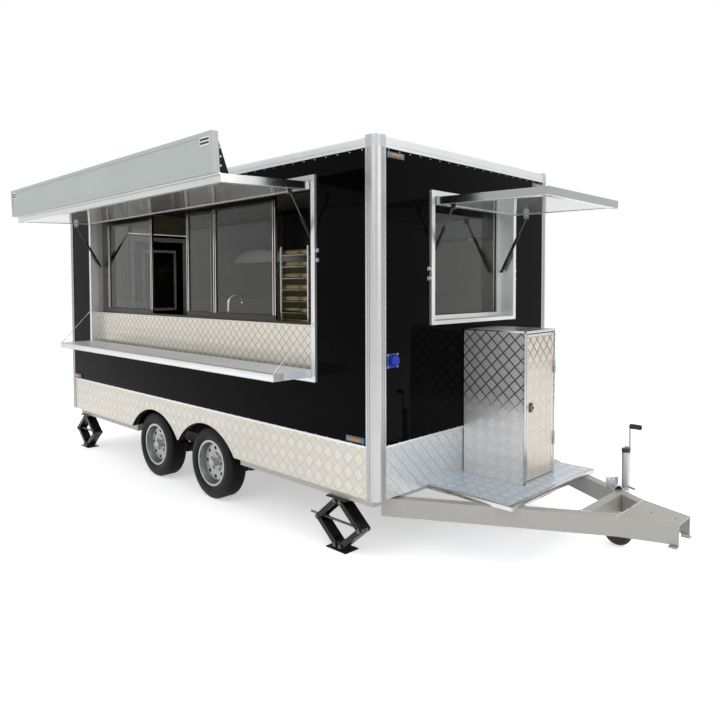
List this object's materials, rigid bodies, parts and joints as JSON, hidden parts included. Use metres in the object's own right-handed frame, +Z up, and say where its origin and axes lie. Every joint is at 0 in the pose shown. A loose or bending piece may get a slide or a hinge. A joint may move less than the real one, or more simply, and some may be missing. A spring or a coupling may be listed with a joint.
{
  "type": "food trailer",
  "caption": "Towed box-body food trailer on tandem axles with a top-hung service hatch, fold-up sign board, drop-down shelf, front hatch, gas bottle box and A-frame drawbar.",
  "frame": {"origin": "on the ground under the middle of the whole outline with the hatches open", "axes": "+X forwards along the drawbar, +Y to the left away from the service side, +Z up"},
  "size_m": [5.69, 2.7407, 2.51],
  "materials": {
    "chassis_steel": "satin black paint",
    "drawbar_steel": "hot dip galvanised, slightly dull",
    "chequer_plate": "bright embossed aluminium plate",
    "axle_steel": "black paint",
    "floor_sheet": "embossed floor sheet",
    "well_sheet": "black underseal",
    "black_panel": "high gloss black",
    "extrusion": "satin anodised",
    "roof_sheet": "white roof skin",
    "window_frame": "dark anodised",
    "glass": "clear float glass",
    "hatch_panel": "pale grey lining",
    "shelf_panel": "brushed sheet",
    "stay_wire": "wire",
    "galvanised_steel": "galvanised",
    "jockey_rubber": "solid rubber",
    "jack_paint": "black paint",
    "jack_screw_steel": "oiled screw",
    "amber_lens": "moulded lens",
    "red_lens": "moulded lens",
    "blue_plastic": "moulded",
    "bench_steel": "brushed",
    "tap_chrome": "polished",
    "strut_paint": "gloss black",
    "strut_rod": "ground rod",
    "tyre": "road tyre",
    "wheel_steel": "silver paint"
  },
  "bodies": {
    "trailer": {"chassis_rails": "chassis_steel", "chassis_crossmembers": "chassis_steel", "drawbar": "drawbar_steel", "drawbar_platform": "chequer_plate", "axles": "axle_steel", "floor": "floor_sheet", "wheel_wells": "well_sheet", "service_wall": "black_panel", "front_wall": "black_panel", "off_wall": "black_panel", "rear_wall": "black_panel", "skirts": "chequer_plate", "corner_posts": "extrusion", "roof_rails": "extrusion", "corner_caps": "extrusion", "roof": "roof_sheet", "service_frame": "extrusion", "sill_panel": "chequer_plate", "service_windows": "window_frame", "front_frame": "extrusion", "front_window": "extrusion", "window_glass": "glass", "shelf_stays": "stay_wire", "gas_box": "chequer_plate", "rear_door_frame": "extrusion", "jockey_mount": "galvanised_steel", "jockey_crank": "galvanised_steel", "jack_heads": "jack_paint", "jack_arms": "jack_paint", "jack_screws": "jack_screw_steel", "jack_feet": "jack_paint", "marker_lamps": "amber_lens", "tail_lamps": "red_lens", "power_inlet": "blue_plastic", "inner_counter": "bench_steel", "sink_tap": "tap_chrome"},
    "service_hatch": {"service_hatch": "hatch_panel"},
    "sign_board": {"sign_board": "hatch_panel"},
    "counter_shelf": {"counter_shelf": "shelf_panel"},
    "front_hatch": {"front_hatch": "hatch_panel"},
    "service_strut_barrels": {"service_strut_barrels": "strut_paint"},
    "service_strut_rods": {"service_strut_rods": "strut_rod"},
    "front_strut_barrels": {"front_strut_barrels": "strut_paint"},
    "front_strut_rods": {"front_strut_rods": "strut_rod"},
    "gas_box_door": {"gas_box_door": "chequer_plate"},
    "rear_door": {"rear_door": "black_panel"},
    "jockey_swivel": {"jockey_fork": "galvanised_steel"},
    "jockey_wheel": {"jockey_wheel": "jockey_rubber"},
    "road_wheel_front_right": {"tyre_front_right": "tyre", "wheel_front_right": "wheel_steel"},
    "road_wheel_front_left": {"tyre_front_left": "tyre", "wheel_front_left": "wheel_steel"},
    "road_wheel_rear_right": {"tyre_rear_right": "tyre", "wheel_rear_right": "wheel_steel"},
    "road_wheel_rear_left": {"tyre_rear_left": "tyre", "wheel_rear_left": "wheel_steel"}
  },
  "joints": [
    {"name": "service_hatch", "type": "hinge", "parent": "trailer", "child": "service_hatch", "pos_m": [-0.633, -0.63976, 2.2955], "axis": [1, 0, 0], "range_deg": [0, 87.8]},
    {"name": "sign_board", "type": "hinge", "parent": "service_hatch", "child": "sign_board", "pos_m": [-0.633, -1.31674, 2.26949], "axis": [1, 0, 0], "range_deg": [0, 90]},
    {"name": "counter_shelf", "type": "hinge", "parent": "trailer", "child": "counter_shelf", "pos_m": [-0.633, -0.63976, 1.0705], "axis": [-1, 0, 0], "range_deg": [0, 90], "deforming": ["shelf_stays"]},
    {"name": "front_hatch", "type": "hinge", "parent": "trailer", "child": "front_hatch", "pos_m": [1.51, 0.36374, 2.1975], "axis": [0, 1, 0], "range_deg": [0, 89]},
    {"name": "service_strut_swing", "type": "hinge", "parent": "service_hatch", "child": "service_strut_rods", "pos_m": [-0.633, -0.79681, 2.21741], "axis": [1, 0, 0], "range_deg": [-119.46, 0.05]},
    {"name": "service_strut_slide", "type": "slide", "parent": "service_strut_rods", "child": "service_strut_barrels", "axis": [0, -0.5242, 0.8516], "range_m": [-0.0005, 0.14718]},
    {"name": "front_strut_swing", "type": "hinge", "parent": "front_hatch", "child": "front_strut_rods", "pos_m": [1.63859, 0.36374, 2.12324], "axis": [0, 1, 0], "range_deg": [-117.03, 0.05]},
    {"name": "front_strut_slide", "type": "slide", "parent": "front_strut_rods", "child": "front_strut_barrels", "axis": [0.4691, 0, 0.8831], "range_m": [-0.0005, 0.10608]},
    {"name": "gas_box_door", "type": "hinge", "parent": "trailer", "child": "gas_box_door", "pos_m": [1.967, 0.60324, 0.87803], "axis": [0, 0, 1], "range_deg": [0, 90]},
    {"name": "rear_door", "type": "hinge", "parent": "trailer", "child": "rear_door", "pos_m": [-2.785, 0.74324, 1.336], "axis": [0, 0, -1], "range_deg": [0, 120]},
    {"name": "road_wheel_front_right", "type": "hinge", "parent": "trailer", "child": "road_wheel_front_right", "pos_m": [-0.26, -0.52726, 0.275], "axis": [0, 1, 0], "continuous": true},
    {"name": "road_wheel_front_left", "type": "hinge", "parent": "trailer", "child": "road_wheel_front_left", "pos_m": [-0.26, 1.24774, 0.275], "axis": [0, 1, 0], "continuous": true},
    {"name": "road_wheel_rear_right", "type": "hinge", "parent": "trailer", "child": "road_wheel_rear_right", "pos_m": [-1.11, -0.52726, 0.275], "axis": [0, 1, 0], "continuous": true},
    {"name": "road_wheel_rear_left", "type": "hinge", "parent": "trailer", "child": "road_wheel_rear_left", "pos_m": [-1.11, 1.24774, 0.275], "axis": [0, 1, 0], "continuous": true},
    {"name": "jockey_swivel", "type": "hinge", "parent": "trailer", "child": "jockey_swivel", "pos_m": [2.39429, 0.70659, 0.31], "axis": [0, 0, 1], "continuous": true},
    {"name": "jockey_wheel", "type": "hinge", "parent": "jockey_swivel", "child": "jockey_wheel", "pos_m": [2.34929, 0.70659, 0.09], "axis": [0, 1, 0], "continuous": true}
  ],
  "couplings": [
    {"joint": "service_strut_swing", "follows": "service_hatch", "ratio": -1.36},
    {"joint": "service_strut_slide", "follows": "service_hatch", "m_per_rad": 0.095722},
    {"joint": "front_strut_swing", "follows": "front_hatch", "ratio": -1.3144},
    {"joint": "front_strut_slide", "follows": "front_hatch", "m_per_rad": 0.067973}
  ]
}
